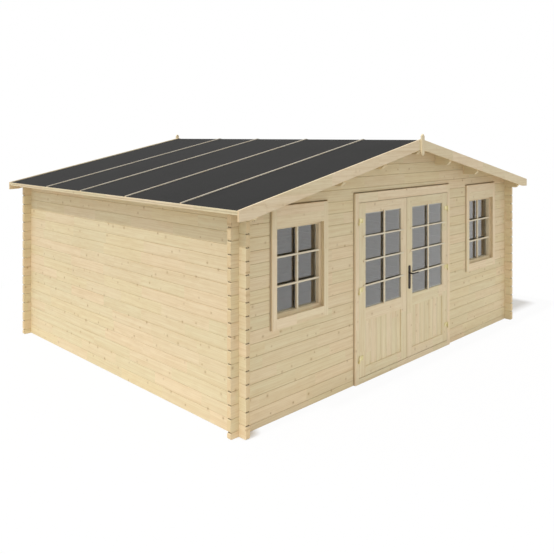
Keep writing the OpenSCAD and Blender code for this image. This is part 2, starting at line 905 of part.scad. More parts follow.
left_wall();
right_wall();
back_wall();
front_wall_left();
front_wall_right();
front_gable();
roof_boards_left();
roof_boards_right();
roof_felt_left();
roof_felt_right();
felt_battens_left();
felt_battens_right();
eave_strip_left();
eave_strip_right();
bargeboards_front();
bargeboards_back();
finial_front();
finial_back();
ridge_purlin();
side_purlins();
window_left_casing();
window_left_frame();
window_left_sash();
window_left_glass();
window_right_casing();
window_right_frame();
window_right_sash();
window_right_glass();
door_casing();
door_frame();
door_sill();
left_leaf_frame();
left_leaf_panel();
left_leaf_glass();
right_leaf_frame();
right_leaf_panel();
right_leaf_glass();
left_hinge_pins();
left_hinge_straps();
right_hinge_pins();
right_hinge_straps();
handle_plates();
door_lever();
floor_boards();
floor_bearers();
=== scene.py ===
"""Looks of a log cabin in pale planed pine, with a felted roof, a glazed double door and two windows."""
import json
import math

import bpy
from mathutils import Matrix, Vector


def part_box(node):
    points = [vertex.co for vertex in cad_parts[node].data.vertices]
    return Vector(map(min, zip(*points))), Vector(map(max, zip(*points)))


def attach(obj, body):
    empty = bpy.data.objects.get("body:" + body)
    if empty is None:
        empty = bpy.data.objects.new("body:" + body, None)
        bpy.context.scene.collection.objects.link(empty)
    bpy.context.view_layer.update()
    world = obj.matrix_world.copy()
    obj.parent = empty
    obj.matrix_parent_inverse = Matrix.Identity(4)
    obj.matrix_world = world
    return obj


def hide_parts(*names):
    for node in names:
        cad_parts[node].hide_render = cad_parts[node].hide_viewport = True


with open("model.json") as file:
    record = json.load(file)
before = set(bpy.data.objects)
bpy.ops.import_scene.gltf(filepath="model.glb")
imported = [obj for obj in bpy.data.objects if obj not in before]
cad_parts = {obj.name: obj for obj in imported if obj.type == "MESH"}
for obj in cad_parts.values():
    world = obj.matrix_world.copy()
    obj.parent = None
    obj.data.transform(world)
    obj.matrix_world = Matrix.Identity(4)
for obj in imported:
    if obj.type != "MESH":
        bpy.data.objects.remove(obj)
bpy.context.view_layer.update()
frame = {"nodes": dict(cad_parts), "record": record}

MM = 0.001
FRONT = (0, -1, 0)
BACK = (0, 1, 0)
SIDES = {"left": -1, "right": 1}

# Timber sizes
LOG_COURSE = 113 * MM
ROOF_BOARD_WIDTH = 112 * MM
FLOOR_BOARD_WIDTH = 107 * MM
PANEL_BOARD_WIDTH = 91 * MM
ROOF_BOARD_CHAMFER = 2.5 * MM
FLOOR_BOARD_CHAMFER = 1.5 * MM
EASED_EDGE = 1.5 * MM
EASED_STEPS = 2
CORNER_REACH = 1.5 * MM

# Glazing bars and beads, a bar's depth being its front and its back behind the face of the frame
CROSS_BAR_HEIGHT = 16 * MM
CROSS_BAR_PROUD = 0.5 * MM
CROSS_BAR_LAP = 40 * MM
UPRIGHT_BAR_WIDTH = 22 * MM
UPRIGHT_BAR_LAP = 10 * MM
WINDOW_CROSS_BARS = 2
WINDOW_BAR_PITCH = 260 * MM
WINDOW_BAR_DROP = 3 * MM
WINDOW_UPRIGHT = (5 * MM, 27 * MM)
WINDOW_CROSS = (-3 * MM, 12 * MM)
DOOR_CROSS_BARS = 3
DOOR_BAR_PITCH = 250 * MM
DOOR_UPRIGHT = (-10 * MM, 4 * MM)
DOOR_CROSS = (-10 * MM, 0.0)
BEAD_WIDTH = 11 * MM
BEAD_DEPTH = 9 * MM
GLASS_PLAY = 0.5 * MM

# Heads of the screws and nails, with the taper, the rim and the recess as shares of a head
SCREW_RADIUS = 4.0 * MM
SCREW_HEIGHT = 1.2 * MM
NAIL_RADIUS = 2.5 * MM
NAIL_HEIGHT = 0.8 * MM
HEAD_SIDES = 12
HEAD_TAPER = 0.75
HEAD_RIM = 0.3
HEAD_RECESS = 0.45

# Boards that the nails go through
ROOF_PITCH = math.radians(11.9)
WINDOW_SIDE_BOARD = 60 * MM
WINDOW_HEAD_BOARD = 185 * MM
WINDOW_BASE_BOARD = 95 * MM
DOOR_SIDE_BOARD = 58 * MM
DOOR_HEAD_BOARD = 93 * MM
PURLIN_INNER = 640 * MM
PURLIN_OUTER = 1292 * MM
EAVE_BEAD_STEP = 6 * MM
BATTEN_EDGE_DIGITS = 4

# Spread of the nails: how many, and how far from the ends or edges
UPRIGHT_NAILS = 4
UPRIGHT_MARGIN = 100 * MM
HEAD_NAILS = 4
HEAD_MARGIN = 300 * MM
WINDOW_NAIL_SPREAD = 160 * MM
BARGEBOARD_ROWS = (35 * MM, 80 * MM)
RIDGE_NAIL = 60 * MM
FINIAL_SPREAD = 40 * MM
BATTEN_NAILS = 6
BATTEN_MARGIN = 90 * MM
EAVE_NAILS = 7
EAVE_MARGIN = 400 * MM
EAVE_NAIL_RISE = 11 * MM

# Screws on the hinges, as places inwards and up from where a hinge splits, and on the handle plates
HINGE_SPLITS = (235 * MM, 925 * MM, 1625 * MM)
HINGE_SCREWS = ((54 * MM, 23 * MM), (25 * MM, 11 * MM), (25 * MM, 35 * MM))
HINGE_PLATE_FACE = 2.8 * MM
HANDLE_SCREW_MARGIN = 20 * MM

# Tints of fresh planed softwood, from straw to a light pink, and colours of its marks
STRAW_TINTS = ("#E4D5AF", "#E6D4B0", "#E2D4AE", "#E8D4B0", "#E5D5AD", "#E4D3AE")
PALE_TINTS = ("#EDDDBA", "#EFDCBB", "#EADBB8")
WARM_TINTS = ("#E8DAB6", "#EAD9B8", "#E5D8B4")
BATTEN_TINTS = ("#D2CBBB", "#CBC4B4")
BAR_TINTS = ("#E9E1C9", "#E5DDC6")
LATE_WOOD = "#C9A873"
KNOT_BROWN = "#8A6A42"
KNOT_RING = "#C7A470"
JOINT_BROWN = "#8B7549"
# Colour of the painted shade in the notches where bevelled log ends meet
NOTCH_SHADE_BROWN = "#5A4424"
END_GRAIN = "#E0BF8B"

# Lengths and widths over which timber keeps one tint, where it isn't the width of a board
TINT_LENGTH = 720 * MM
TINT_STAGGER = 7.3
PURLIN_TINT = 400 * MM
EAVE_STRIP_TINT = 1000 * MM
BARGEBOARD_TINT = 2000 * MM
BATTEN_TINT = 400 * MM
FINIAL_TINT = 1000 * MM
CASING_TINT = 300 * MM
SASH_TINT = 500 * MM
LEAF_TINT = 430 * MM
SILL_TINT = 1000 * MM
BAR_TINT = 300 * MM

# Late wood: width, length and detail of a streak, the noise at which it starts and is full, and its strength
FIBRES = (7 * MM, 420 * MM, 3.0, 0.44, 0.76, 0.36)
BANDS = (26 * MM, 1300 * MM, 1.0, 0.42, 0.75, 0.22)
CLOUDS = (38 * MM, 110 * MM, 2.0, 0.45, 0.75, 0.15)
FIBRE_SHUFFLE = 31.0
GRAIN_RELIEF = 0.6 * MM
GRAIN_STRENGTH = 0.2
GRAIN_SPAN = (0.3, 0.8)
PINE_ROUGHNESS = (0.60, 0.74)

# Knots, and the radii at which their ring and heart start and are full, with strength and colour
KNOT_SPACING = 190 * MM
KNOT_LEAST = 6 * MM
KNOT_SPREAD = 6 * MM
KNOT_CHANCE = 0.65
KNOT_FAINTEST = 0.35
KNOT_PARTS = ((2.6, 1.0, 0.30, KNOT_RING), (1.25, 0.7, 0.45, KNOT_BROWN))

# Sawn ends: how straight a face looks along the fibres, and rings round a heart low in the log
SAWN_FACING = 0.85
SAWN_SHARE = 0.45
HEART_HEIGHT = 0.35
RING_SPACING = 5 * MM
RING_WOBBLE = 1.5
RING_SHARE = 0.4
WAVE_RADIANS = 20

# Joints between boards, and the painted shade in the notches where bevelled ends meet
JOINT_LINE = 1.5 * MM
JOINT_FADE = 4.5 * MM
NOTCH_SHADE_LINE = 3.0 * MM
NOTCH_SHADE_FADE = 7.0 * MM
NOTCH_SHADE_SHARE = 0.8
BEVEL_FACING = 0.6
BEVEL_SPREAD = 0.25

# Felt, glass and metal
FELT_DARK = "#212120"
FELT_LIGHT = "#2C2B2A"
FELT_WORN = "#2F2E2E"
FELT_ROUGHNESS = 0.92
FELT_SPECULAR = 0.25
GRIT_DRAWN = 9 * MM
GRIT_RELIEF = 1.0 * MM
GRIT_STRENGTH = 0.35
WEATHER_SIZE = 700 * MM
WEATHER_SHARE = 0.3
MOTTLE_SPAN = (0.35, 0.7)
GLASS_TINT = "#E4E6E5"
GLASS_INDEX = 1.52
DULLED_SPAN = (0.3, 0.7)
DULLED_ROUGHNESS = 0.15

# White ground, and where it keeps its shadow: beside the right wall and at the front left corner
WHITE = "#FFFFFF"
GROUND_WHITE = "#F4F4F4"
GROUND_SIZE = 9.6
GROUND_DROP = 0.5 * MM
SHADOW_LEAST = 0.06
SIDE_SHADOW_END = (1165 * MM, 995 * MM)
SIDE_SHADOW_FRONT = (0.0, 180 * MM)
CORNER_SHADOW_IN = (85 * MM, 10 * MM)
CORNER_SHADOW_REACH = (140 * MM, 50 * MM)

# Light of the sky and the sun, with the sun's angles in degrees
SKY_LEVEL = 0.77
LOW_SKY_LEVEL = 0.46
SUN_LEVEL = 0.47
SUN_ELEVATION = 58.3
SUN_ANGLE = 2.0

# Camera of the photograph, off the front left corner and about as high as the ridge
CAMERA_PLACE = (-5.9833, -5.9746, 2.5047)
CAMERA_TURN = -45.017
CAMERA_LENS = 41.444
CAMERA_SHIFT = -0.25455
CAMERA_REACH = 200.0

# Places from the frame: a rail is the middle and half the width of what lies between two uprights
side_low, side_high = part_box("right_wall")
front_low, front_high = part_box("front_wall_left")
back_low, back_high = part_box("back_wall")
door_glass_low, door_glass_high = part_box("right_leaf_glass")
sash_glass_low, sash_glass_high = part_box("window_right_glass")
casing_low, casing_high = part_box("window_right_casing")
side_middle = (side_low.x + side_high.x) / 2
front_middle = (front_low.y + front_high.y) / 2
back_middle = (back_low.y + back_high.y) / 2
leaf_rail = ((door_glass_low.x + door_glass_high.x) / 2, (door_glass_high.x - door_glass_low.x) / 2)
sash_rail = ((sash_glass_low.x + sash_glass_high.x) / 2, (sash_glass_high.x - sash_glass_low.x) / 2)
door_head = (0.0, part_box("door_sill")[1].x)
window_head = (sash_rail[0], (casing_high.x - casing_low.x) / 2 - WINDOW_SIDE_BOARD)


def linear(code):
    """Linear colour of an sRGB hex code."""
    parts = [int(code[i:i + 2], 16) / 255 for i in (1, 3, 5)]
    return [c / 12.92 if c <= 0.04045 else ((c + 0.055) / 1.055) ** 2.4 for c in parts] + [1.0]


def put(tree, kind, inputs=None, **settings):
    """Adds a node with its settings, and fills its inputs with values or with links from other nodes."""
    made = tree.nodes.new("ShaderNode" + kind)
    for setting, value in settings.items():
        setattr(made, setting, value)
    for name, value in (inputs or {}).items():
        live = [socket for socket in made.inputs if socket.enabled]
        socket = live[name] if isinstance(name, int) else next(s for s in live if s.name == name)
        if isinstance(value, bpy.types.Node):
            value = next(s for s in value.outputs if s.enabled)
        if isinstance(value, bpy.types.NodeSocket):
            tree.links.new(value, socket)
        else:
            socket.default_value = value
    return made


def fresh_material(name):
    """A new material with its node tree, emptied but for the output."""
    material = bpy.data.materials.new(name)
    material.use_nodes = True
    tree = material.node_tree
    tree.nodes.remove(tree.nodes["Principled BSDF"])
    return material, tree, tree.nodes["Material Output"].inputs["Surface"]


def in_rails(tree, across, rails):
    """One in the boards that lie between two uprights, on either side of the middle, and none elsewhere."""
    out = put(tree, "Math", {0: across}, operation="ABSOLUTE")
    rail = 0.0
    for rail_middle, rail_reach in rails:
        here = put(tree, "Math", {0: out, 1: rail_middle, 2: rail_reach}, operation="COMPARE")
        rail = put(tree, "Math", {0: rail, 1: here}, operation="MAXIMUM")
    return rail


def board_tint(tree, along, share, deep, tints):
    """A tint for each length of each board, and the chance that picked it."""
    number = put(tree, "Math", {0: share}, operation="FLOOR")
    shift = put(tree, "TexWhiteNoise", {"W": number}, noise_dimensions="1D")
    stagger = put(tree, "Math", {0: shift, 1: TINT_STAGGER}, operation="MULTIPLY")
    run = put(tree, "Math", {0: along, 1: 1 / TINT_LENGTH, 2: stagger}, operation="MULTIPLY_ADD")
    length = put(tree, "Math", {0: run}, operation="FLOOR")
    side = put(tree, "Math", {0: deep}, operation="SIGN")
    tag = put(tree, "CombineXYZ", {"X": number, "Y": length, "Z": side})
    chance = put(tree, "TexWhiteNoise", {"Vector": tag}, noise_dimensions="3D")
    tint = put(tree, "ValToRGB", {"Fac": chance})
    tint.color_ramp.interpolation = "CONSTANT"
    while len(tint.color_ramp.elements) < len(tints):
        tint.color_ramp.elements.new(0.5)
    for i, code in enumerate(tints):
        tint.color_ramp.elements[i].position = i / len(tints)
        tint.color_ramp.elements[i].color = linear(code)
    return tint, chance


def late_wood(tree, colour, along, flat, deep, chance):
    """Fine fibres, broad bands and soft clouds of darker wood, and the fibres by themselves."""
    shuffle = put(tree, "Math", {0: chance, 1: FIBRE_SHUFFLE}, operation="MULTIPLY")
    streaks = []
    for wide, long, detail, least, most, strength in (FIBRES, BANDS, CLOUDS):
        lengthways = put(tree, "Math", {0: along, 1: 1 / long}, operation="MULTIPLY")
        crossways = put(tree, "Math", {0: flat, 1: 1 / wide, 2: shuffle}, operation="MULTIPLY_ADD")
        inwards = put(tree, "Math", {0: deep, 1: 1 / wide}, operation="MULTIPLY")
        point = put(tree, "CombineXYZ", {"X": lengthways, "Y": crossways, "Z": inwards})
        streaks.append(put(tree, "TexNoise", {"Vector": point, "Scale": 1.0, "Detail": detail}))
        late = put(tree, "MapRange", {"Value": streaks[-1], "From Min": least, "From Max": most,
                                      "To Max": strength})
        colour = put(tree, "Mix", {"Factor": late, "A": colour, "B": linear(LATE_WOOD)}, data_type="RGBA")
    return colour, streaks[0]


def knotted(tree, colour, along, flat, knots):
    """Knots in some of the cells of a wide net: a brown heart in a paler ring."""
    spot = put(tree, "CombineXYZ", {"X": along, "Y": flat})
    cells = put(tree, "TexVoronoi", {"Vector": spot, "Scale": 1 / KNOT_SPACING}, voronoi_dimensions="2D")
    luck = put(tree, "SeparateXYZ", {"Vector": cells.outputs["Color"]}).outputs
    radius = put(tree, "Math", {0: luck["X"], 1: KNOT_SPREAD / KNOT_SPACING, 2: KNOT_LEAST / KNOT_SPACING},
                 operation="MULTIPLY_ADD")
    reach = put(tree, "Math", {0: cells, 1: radius}, operation="DIVIDE")
    drawn = put(tree, "Math", {0: luck["Y"], 1: KNOT_CHANCE}, operation="LESS_THAN")
    clear = put(tree, "MapRange", {"Value": luck["Z"], "To Min": KNOT_FAINTEST * knots, "To Max": knots})
    there = put(tree, "Math", {0: drawn, 1: clear}, operation="MULTIPLY")
    for start_at, full_at, strength, code in KNOT_PARTS:
        mark = put(tree, "MapRange", {"Value": reach, "From Min": start_at, "From Max": full_at,
                                      "To Max": strength})
        seen = put(tree, "Math", {0: mark, 1: there}, operation="MULTIPLY")
        colour = put(tree, "Mix", {"Factor": seen, "A": colour, "B": linear(code)}, data_type="RGBA")
    return colour


def end_rings(tree, part, deep, board, heart):
    """End grain with rings round the heart of each log. heart is the middle between two walls, and how far
    each of them lies from it. A wave texture turns through 20 radians in a length of one."""
    centred = put(tree, "Math", {0: deep, 1: heart[0]}, operation="SUBTRACT")
    outward = put(tree, "Math", {0: centred}, operation="ABSOLUTE")
    sideways = put(tree, "Math", {0: outward, 1: heart[1]}, operation="SUBTRACT")
    upward = put(tree, "Math", {0: part, 1: board, 2: -HEART_HEIGHT * board}, operation="MULTIPLY_ADD")
    from_heart = put(tree, "CombineXYZ", {"Y": upward, "Z": sideways})
    rings = put(tree, "TexWave", {"Vector": from_heart, "Scale": math.tau / (WAVE_RADIANS * RING_SPACING),
                                  "Distortion": RING_WOBBLE, "Detail": 1.0},
                wave_type="RINGS", rings_direction="X")
    ring_share = put(tree, "Math", {0: rings.outputs["Fac"], 1: RING_SHARE}, operation="MULTIPLY")
    return put(tree, "Mix", {"Factor": ring_share, "A": linear(END_GRAIN), "B": linear(LATE_WOOD)},
               data_type="RGBA")


def board_joints(tree, colour, part, turned, sawn, board, joints):
    """Dark lines between boards, and painted shade in the notches where the bevelled ends meet."""
    far_edge = put(tree, "Math", {0: 1.0, 1: part}, operation="SUBTRACT")
    edge = put(tree, "Math", {0: part, 1: far_edge}, operation="MINIMUM")
    long_side = put(tree, "Math", {0: 1.0, 1: sawn}, operation="SUBTRACT")
    gap = put(tree, "MapRange", {"Value": edge, "From Min": JOINT_FADE / board,
                                 "From Max": JOINT_LINE / board, "To Max": joints})
    line = put(tree, "Math", {0: gap, 1: long_side}, operation="MULTIPLY")
    colour = put(tree, "Mix", {"Factor": line, "A": colour, "B": linear(JOINT_BROWN)}, data_type="RGBA")
    # Painted shade: the bevelled faces near a board's edge are darkened where two bevelled ends meet in a V
    bevelled = put(tree, "Math", {0: turned, 1: BEVEL_FACING, 2: BEVEL_SPREAD}, operation="COMPARE")
    notch_shade_reach = put(tree, "MapRange", {"Value": edge, "From Min": NOTCH_SHADE_FADE / board,
                                   "From Max": NOTCH_SHADE_LINE / board, "To Max": NOTCH_SHADE_SHARE})
    painted_notch_shade = put(tree, "Math", {0: notch_shade_reach, 1: bevelled}, operation="MULTIPLY")
    return put(tree, "Mix", {"Factor": painted_notch_shade, "A": colour, "B": linear(NOTCH_SHADE_BROWN)}, data_type="RGBA")


def planed_pine(name, grain, across, board, start=0.0, tints=STRAW_TINTS, joints=0.0, knots=1.0,
                rails=None, heart=None):
    """Pine, planed and left bare: matt and pale, with long faint fibres, small brown knots, and a tint that
    changes from board to board and along it. Fibres run along one axis and boards are counted along another.
    rails turns the fibres in the boards between two uprights, heart puts rings on sawn ends, and joints
    darkens the board edges."""
    material, tree, surface = fresh_material(name)
    place = put(tree, "TexCoord")
    at = put(tree, "SeparateXYZ", {"Vector": place.outputs["Object"]}).outputs
    facing = put(tree, "SeparateXYZ", {"Vector": place.outputs["Normal"]}).outputs
    deep = at[({"X", "Y", "Z"} - {grain, across}).pop()]
    along, flat, end_on = at[grain], at[across], facing[grain]
    if rails:
        rail = in_rails(tree, at["X"], rails)
        along = put(tree, "Mix", {"Factor": rail, "A": at[grain], "B": at[across]})
        flat = put(tree, "Mix", {"Factor": rail, "A": at[across], "B": at[grain]})
        end_on = put(tree, "Mix", {"Factor": rail, "A": facing[grain], "B": facing[across]})
    share = put(tree, "Math", {0: flat, 1: 1 / board, 2: -start / board}, operation="MULTIPLY_ADD")
    part = put(tree, "Math", {0: share}, operation="FRACT")
    turned = put(tree, "Math", {0: end_on}, operation="ABSOLUTE")
    sawn = put(tree, "Math", {0: turned, 1: SAWN_FACING}, operation="GREATER_THAN")

    tint, chance = board_tint(tree, along, share, deep, tints)
    colour, fibres = late_wood(tree, tint, along, flat, deep, chance)
    colour = knotted(tree, colour, along, flat, knots)
    end_colour = end_rings(tree, part, deep, board, heart) if heart else linear(END_GRAIN)
    end_share = put(tree, "Math", {0: sawn, 1: SAWN_SHARE}, operation="MULTIPLY")
    colour = put(tree, "Mix", {"Factor": end_share, "A": colour, "B": end_colour}, data_type="RGBA")
    if joints:
        colour = board_joints(tree, colour, part, turned, sawn, board, joints)

    relief = put(tree, "Bump", {"Height": fibres, "Strength": GRAIN_STRENGTH, "Distance": GRAIN_RELIEF})
    dull = put(tree, "MapRange", {"Value": fibres, "From Min": GRAIN_SPAN[0], "From Max": GRAIN_SPAN[1],
                                  "To Min": PINE_ROUGHNESS[0], "To Max": PINE_ROUGHNESS[1]})
    shader = put(tree, "BsdfPrincipled", {"Base Color": colour, "Roughness": dull, "Normal": relief})
    tree.links.new(shader.outputs["BSDF"], surface)
    return material


def mineral_felt(name):
    """Bitumen felt with crushed slate rolled in: nearly black, matt and gritty, a little uneven from place
    to place. The grit is drawn about nine times coarser than its real 1 mm, so that it shows."""
    material, tree, surface = fresh_material(name)
    place = put(tree, "TexCoord").outputs["Object"]
    grit = put(tree, "TexNoise", {"Vector": place, "Scale": 1 / GRIT_DRAWN, "Detail": 2.0})
    weather = put(tree, "TexNoise", {"Vector": place, "Scale": 1 / WEATHER_SIZE, "Detail": 2.0})
    light_grit = put(tree, "MapRange", {"Value": grit, "From Min": MOTTLE_SPAN[0],
                                        "From Max": MOTTLE_SPAN[1]})
    worn = put(tree, "MapRange", {"Value": weather, "From Min": MOTTLE_SPAN[0], "From Max": MOTTLE_SPAN[1],
                                  "To Max": WEATHER_SHARE})
    speckled = put(tree, "Mix", {"Factor": light_grit, "A": linear(FELT_DARK), "B": linear(FELT_LIGHT)},
                   data_type="RGBA")
    colour = put(tree, "Mix", {"Factor": worn, "A": speckled, "B": linear(FELT_WORN)}, data_type="RGBA")
    relief = put(tree, "Bump", {"Height": grit, "Strength": GRIT_STRENGTH, "Distance": GRIT_RELIEF})
    shader = put(tree, "BsdfPrincipled", {"Base Color": colour, "Roughness": FELT_ROUGHNESS,
                                          "Specular IOR Level": FELT_SPECULAR, "Normal": relief})
    tree.links.new(shader.outputs["BSDF"], surface)
    return material


def float_glass(name):
    """Float glass: clear and flat, it mirrors the pale surroundings and lets the dim room show through. The
    coat stands for the mirroring of the second pane that a real unit has."""
    material, tree, surface = fresh_material(name)
    shader = put(tree, "BsdfPrincipled", {"Base Color": linear(GLASS_TINT), "Transmission Weight": 1.0,
                                          "Roughness": 0.0, "IOR": GLASS_INDEX, "Coat Weight": 1.0,
                                          "Coat Roughness": 0.0, "Coat IOR": GLASS_INDEX})
    tree.links.new(shader.outputs["BSDF"], surface)
    return material


def plated_metal(name, bright, dull, roughness, metallic, patch):
    """Plated or lacquered metal: an even coat, with soft patches where it has dulled."""
    material, tree, surface = fresh_material(name)
    place = put(tree, "TexCoord").outputs["Object"]
    patches = put(tree, "TexNoise", {"Vector": place, "Scale": 1 / patch, "Detail": 3.0})
    worn = put(tree, "MapRange", {"Value": patches, "From Min": MOTTLE_SPAN[0], "From Max": MOTTLE_SPAN[1]})
    colour = put(tree, "Mix", {"Factor": worn, "A": linear(bright), "B": linear(dull)}, data_type="RGBA")
    gloss = put(tree, "MapRange", {"Value": patches, "From Min": DULLED_SPAN[0], "From Max": DULLED_SPAN[1],
                                   "To Min": roughness, "To Max": roughness + DULLED_ROUGHNESS})
    shader = put(tree, "BsdfPrincipled", {"Base Color": colour, "Roughness": gloss, "Metallic": metallic})
    tree.links.new(shader.outputs["BSDF"], surface)
    return material


def looked_at(tree):
    """One where the camera looks, also by a mirror or through glass, and none where light only bounces."""
    rays = put(tree, "LightPath").outputs
    mirrored = put(tree, "Math", {0: rays["Is Glossy Ray"], 1: rays["Is Transmission Ray"]},
                   operation="MAXIMUM")
    return put(tree, "Math", {0: rays["Is Camera Ray"], 1: mirrored}, operation="MAXIMUM")


def matt_white(name):
    """Matt white sheet: it shows as plain white, and keeps its shadow beside the right wall and, close in,
    at the front left corner."""
    material, tree, surface = fresh_material(name)
    seen = looked_at(tree)
    place = put(tree, "TexCoord").outputs["Object"]
    at = put(tree, "SeparateXYZ", {"Vector": place}).outputs
    side_end = [side_high.x + reach for reach in SIDE_SHADOW_END]
    side_front = [front_low.y + reach for reach in SIDE_SHADOW_FRONT]
    side_shadow = 1.0
    for axis, none_at, full_at in (("X", side_low.x, side_high.x), ("X", *side_end), ("Y", *side_front)):
        within = put(tree, "MapRange", {"Value": at[axis], "From Min": none_at, "From Max": full_at})
        side_shadow = put(tree, "Math", {0: side_shadow, 1: within}, operation="MULTIPLY")
    corner = (CORNER_SHADOW_IN[0] - side_high.x, front_low.y + CORNER_SHADOW_IN[1], 0.0)
    corner_gap = put(tree, "VectorMath", {0: place, 1: corner}, operation="DISTANCE")
    corner_shadow = put(tree, "MapRange", {"Value": corner_gap, "From Min": CORNER_SHADOW_REACH[0],
                                           "From Max": CORNER_SHADOW_REACH[1]})
    either_shadow = put(tree, "Math", {0: side_shadow, 1: corner_shadow}, operation="MAXIMUM")
    shadow = put(tree, "Math", {0: either_shadow, 1: SHADOW_LEAST}, operation="MAXIMUM")
    glow = put(tree, "Math", {0: 1.0, 1: shadow}, operation="SUBTRACT")
    plain = put(tree, "Math", {0: seen, 1: glow}, operation="MULTIPLY")
    matt = put(tree, "BsdfDiffuse", {"Color": linear(GROUND_WHITE)})
    white = put(tree, "Emission", {"Color": linear(WHITE), "Strength": 1.0})
    shader = put(tree, "MixShader", {0: plain, 1: matt, 2: white})
    tree.links.new(shader.outputs[0], surface)
    return material


def block(name, low, high):
    """A block between two corners, with everything else let go of first."""
    low, high = Vector(low), Vector(high)
    bpy.ops.object.select_all(action="DESELECT")
    bpy.ops.mesh.primitive_cube_add(size=1, location=(low + high) / 2, scale=high - low)
    piece = bpy.context.object
    piece.name = piece.data.name = name
    bpy.ops.object.transform_apply(location=True, rotation=True, scale=True)
    return piece


def pick_corners(piece, wanted):
    """Selects the corners of a piece that pass a test of their place, and opens it for editing."""
    bpy.ops.object.mode_set(mode="EDIT")
    bpy.ops.mesh.select_mode(type="VERT")
    bpy.ops.mesh.select_all(action="DESELECT")
    bpy.ops.object.mode_set(mode="OBJECT")
    for corner in piece.data.vertices:
        corner.select = wanted(corner.co)
    bpy.ops.object.mode_set(mode="EDIT")


def eased(piece, width):
    """Planes the sharp edges off a piece."""
    bpy.ops.object.mode_set(mode="EDIT")
    bpy.ops.mesh.select_all(action="SELECT")
    bpy.ops.mesh.bevel(offset=width, segments=EASED_STEPS, affect="EDGES")
    bpy.ops.object.mode_set(mode="OBJECT")
    return piece


def joined(pieces, name):
    """Several pieces as one, with its place in its mesh."""
    bpy.ops.object.select_all(action="DESELECT")
    for piece in pieces:
        piece.select_set(True)
    bpy.context.view_layer.objects.active = pieces[0]
    bpy.ops.object.join()
    whole = bpy.context.object
    whole.name = whole.data.name = name
    bpy.ops.object.transform_apply(location=True, rotation=True, scale=True)
    return whole


def dressed(piece, body, material):
    """Gives a piece its finish, and the body that it belongs to."""
    piece.data.materials.clear()
    piece.data.materials.append(material)
    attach(piece, body)


def glazing_bars(name, glass, holder, upright_depth, cross_bars, pitch, cross_depth, drop=0.0):
    """One upright bar and several cross bars in front of the glass. An upright that starts before the face
    of its frame laps the rails, and cross bars that end at the face lap the stiles."""
    low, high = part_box(glass)
    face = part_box(holder)[0].y
    middle = (low + high) / 2
    half_width, half_height = UPRIGHT_BAR_WIDTH / 2, CROSS_BAR_HEIGHT / 2
    lap = UPRIGHT_BAR_LAP if upright_depth[0] < 0 else 0.0
    upright = block(name, (middle.x - half_width, face + upright_depth[0], low.z - lap),
                    (middle.x + half_width, face + upright_depth[1], high.z + lap))
    bars = [eased(upright, EASED_EDGE)]
    lap = CROSS_BAR_LAP if cross_depth[1] <= 0 else 0.0
    for i in range(cross_bars):
        z = middle.z - drop + (i - (cross_bars - 1) / 2) * pitch
        bar = block(name, (low.x - lap, face + cross_depth[0] - CROSS_BAR_PROUD, z - half_height),
                    (high.x + lap, face + cross_depth[1], z + half_height))
        bars.append(eased(bar, EASED_EDGE))
    return joined(bars, name)


def glazing_beads(name, glass, holder):
    """Four slim beads that hold the glass in from the room side, their inner edge sloped towards the glass.
    Two lie along the whole width, and two stand between them."""
    low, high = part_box(glass)
    front = high.y + GLASS_PLAY
    back = max(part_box(holder)[1].y, front + BEAD_DEPTH)
    beads = []
    for axis, shorter in ((2, 0.0), (0, BEAD_WIDTH)):
        for outer, sign in ((low[axis], 1), (high[axis], -1)):
            inner = outer + sign * BEAD_WIDTH
            start = Vector((low.x, front, low.z + shorter))
            end = Vector((high.x, back, high.z - shorter))
            start[axis], end[axis] = min(outer, inner), max(outer, inner)
            bead = block(name, start, end)
            pick_corners(bead, lambda co: (abs(co[axis] - inner) < CORNER_REACH
                                           and abs(co.y - back) < CORNER_REACH))
            slope = Vector()
            slope[axis] = -sign * BEAD_WIDTH / 2
            bpy.ops.transform.translate(value=slope)
            bpy.ops.object.mode_set(mode="OBJECT")
            beads.append(bead)
    return joined(beads, name)


def rowed(board, count, step):
    """A row of like boards from the first one and an even step."""
    bpy.ops.object.select_all(action="DESELECT")
    board.select_set(True)
    bpy.context.view_layer.objects.active = board
    row = board.modifiers.new("row", "ARRAY")
    row.use_relative_offset = False
    row.use_constant_offset = True
    row.constant_offset_displace = step
    row.count = count
    bpy.ops.object.modifier_apply(modifier=row.name)
    return board


def roof_planks(name, boards, felt, sign):
    """Boards from eave to ridge, cut plumb at both ends, with a small V where two of them meet."""
    low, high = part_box(boards)
    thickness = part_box(felt)[0].z - low.z
    fall = high.z - low.z - thickness
    count = round((high.y - low.y) / ROOF_BOARD_WIDTH)
    width = (high.y - low.y) / count
    plank = block(name, (low.x, low.y, high.z - thickness), (high.x, low.y + width, high.z))
    middle = (low.x + high.x) / 2
    pick_corners(plank, lambda co: (co.x - middle) * sign > 0)
    bpy.ops.transform.translate(value=(0, 0, -fall))
    bpy.ops.object.mode_set(mode="OBJECT")
    return rowed(eased(plank, ROOF_BOARD_CHAMFER), count, (0, width, 0))


def floor_planks(name, boards):
    """Boards from the door to the back wall, with eased edges."""
    low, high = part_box(boards)
    count = round((high.x - low.x) / FLOOR_BOARD_WIDTH)
    width = (high.x - low.x) / count
    plank = block(name, low, (low.x + width, high.y, high.z))
    return rowed(eased(plank, FLOOR_BOARD_CHAMFER), count, (width, 0, 0))


def fastener_head(name, radius, height):
    """A round head with a sloped rim and a recess, standing up from the origin."""
    bpy.ops.object.select_all(action="DESELECT")
    bpy.ops.mesh.primitive_cylinder_add(vertices=HEAD_SIDES, radius=radius, depth=height,
                                        location=(0, 0, height / 2))
    head = bpy.context.object
    head.name = head.data.name = name
    bpy.ops.object.transform_apply(location=True, rotation=True, scale=True)
    pick_corners(head, lambda co: co.z > height / 2)
    bpy.ops.transform.resize(value=(HEAD_TAPER, HEAD_TAPER, 1), center_override=(0, 0, height))
    bpy.ops.mesh.inset(thickness=radius * HEAD_RIM)
    bpy.ops.transform.translate(value=(0, 0, -height * HEAD_RECESS))
    bpy.ops.object.mode_set(mode="OBJECT")
    return head


